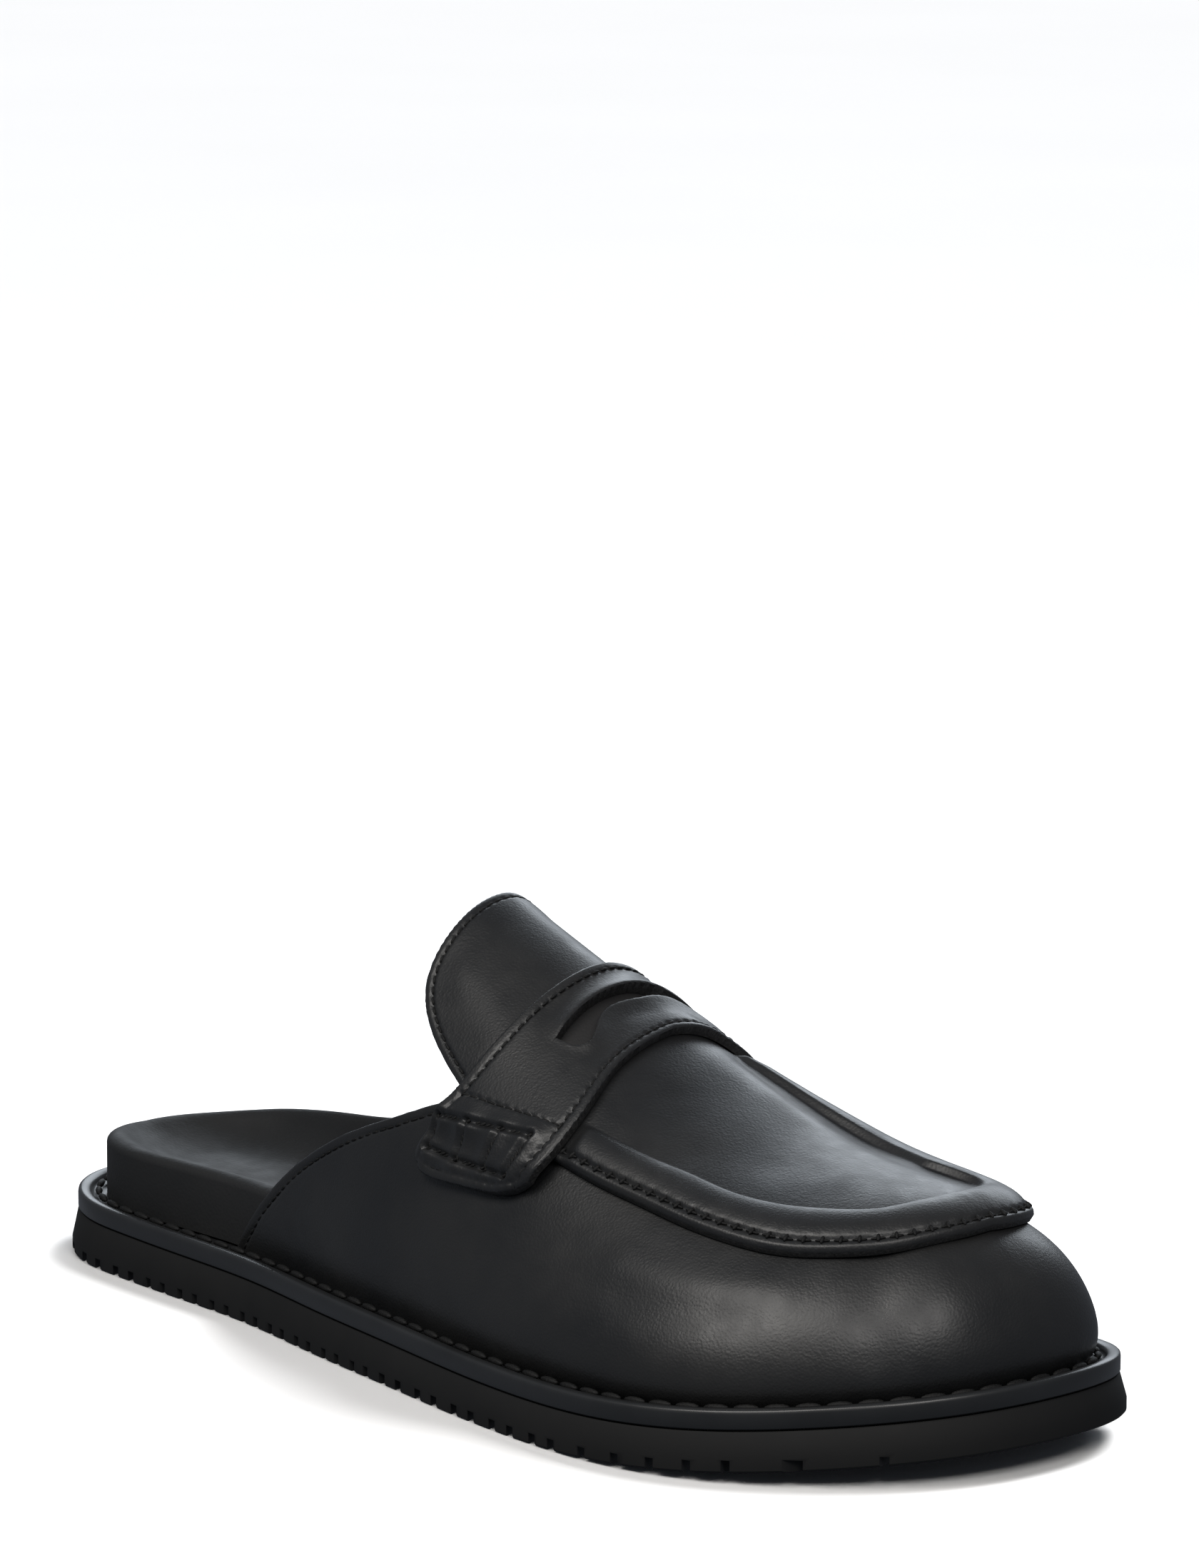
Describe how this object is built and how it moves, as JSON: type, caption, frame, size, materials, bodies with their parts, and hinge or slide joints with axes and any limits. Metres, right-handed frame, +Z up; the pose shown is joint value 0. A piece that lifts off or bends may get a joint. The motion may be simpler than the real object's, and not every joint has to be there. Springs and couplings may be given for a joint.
{
  "type": "backless penny loafer slide",
  "caption": "Right-foot backless penny loafer in black leather: open heel, contoured footbed, stitched welt and lugged rubber sole.",
  "frame": {"origin": "on the floor, under the middle of the sole's length and width", "axes": "+X from heel to toe, +Y to the inner side of the foot, +Z up"},
  "size_m": [0.2978, 0.1144, 0.0994],
  "materials": {
    "outsole_rubber": "matte black rubber",
    "welt_rubber": "smooth black rubber, half gloss",
    "footbed_leather": "matte black leather",
    "upper_leather": "fine-grained black calf, satin"
  },
  "bodies": {
    "root": {"outsole": "outsole_rubber", "welt": "welt_rubber", "footbed": "footbed_leather", "vamp": "upper_leather", "apron": "upper_leather", "tongue": "upper_leather", "strap": "upper_leather"}
  },
  "joints": []
}
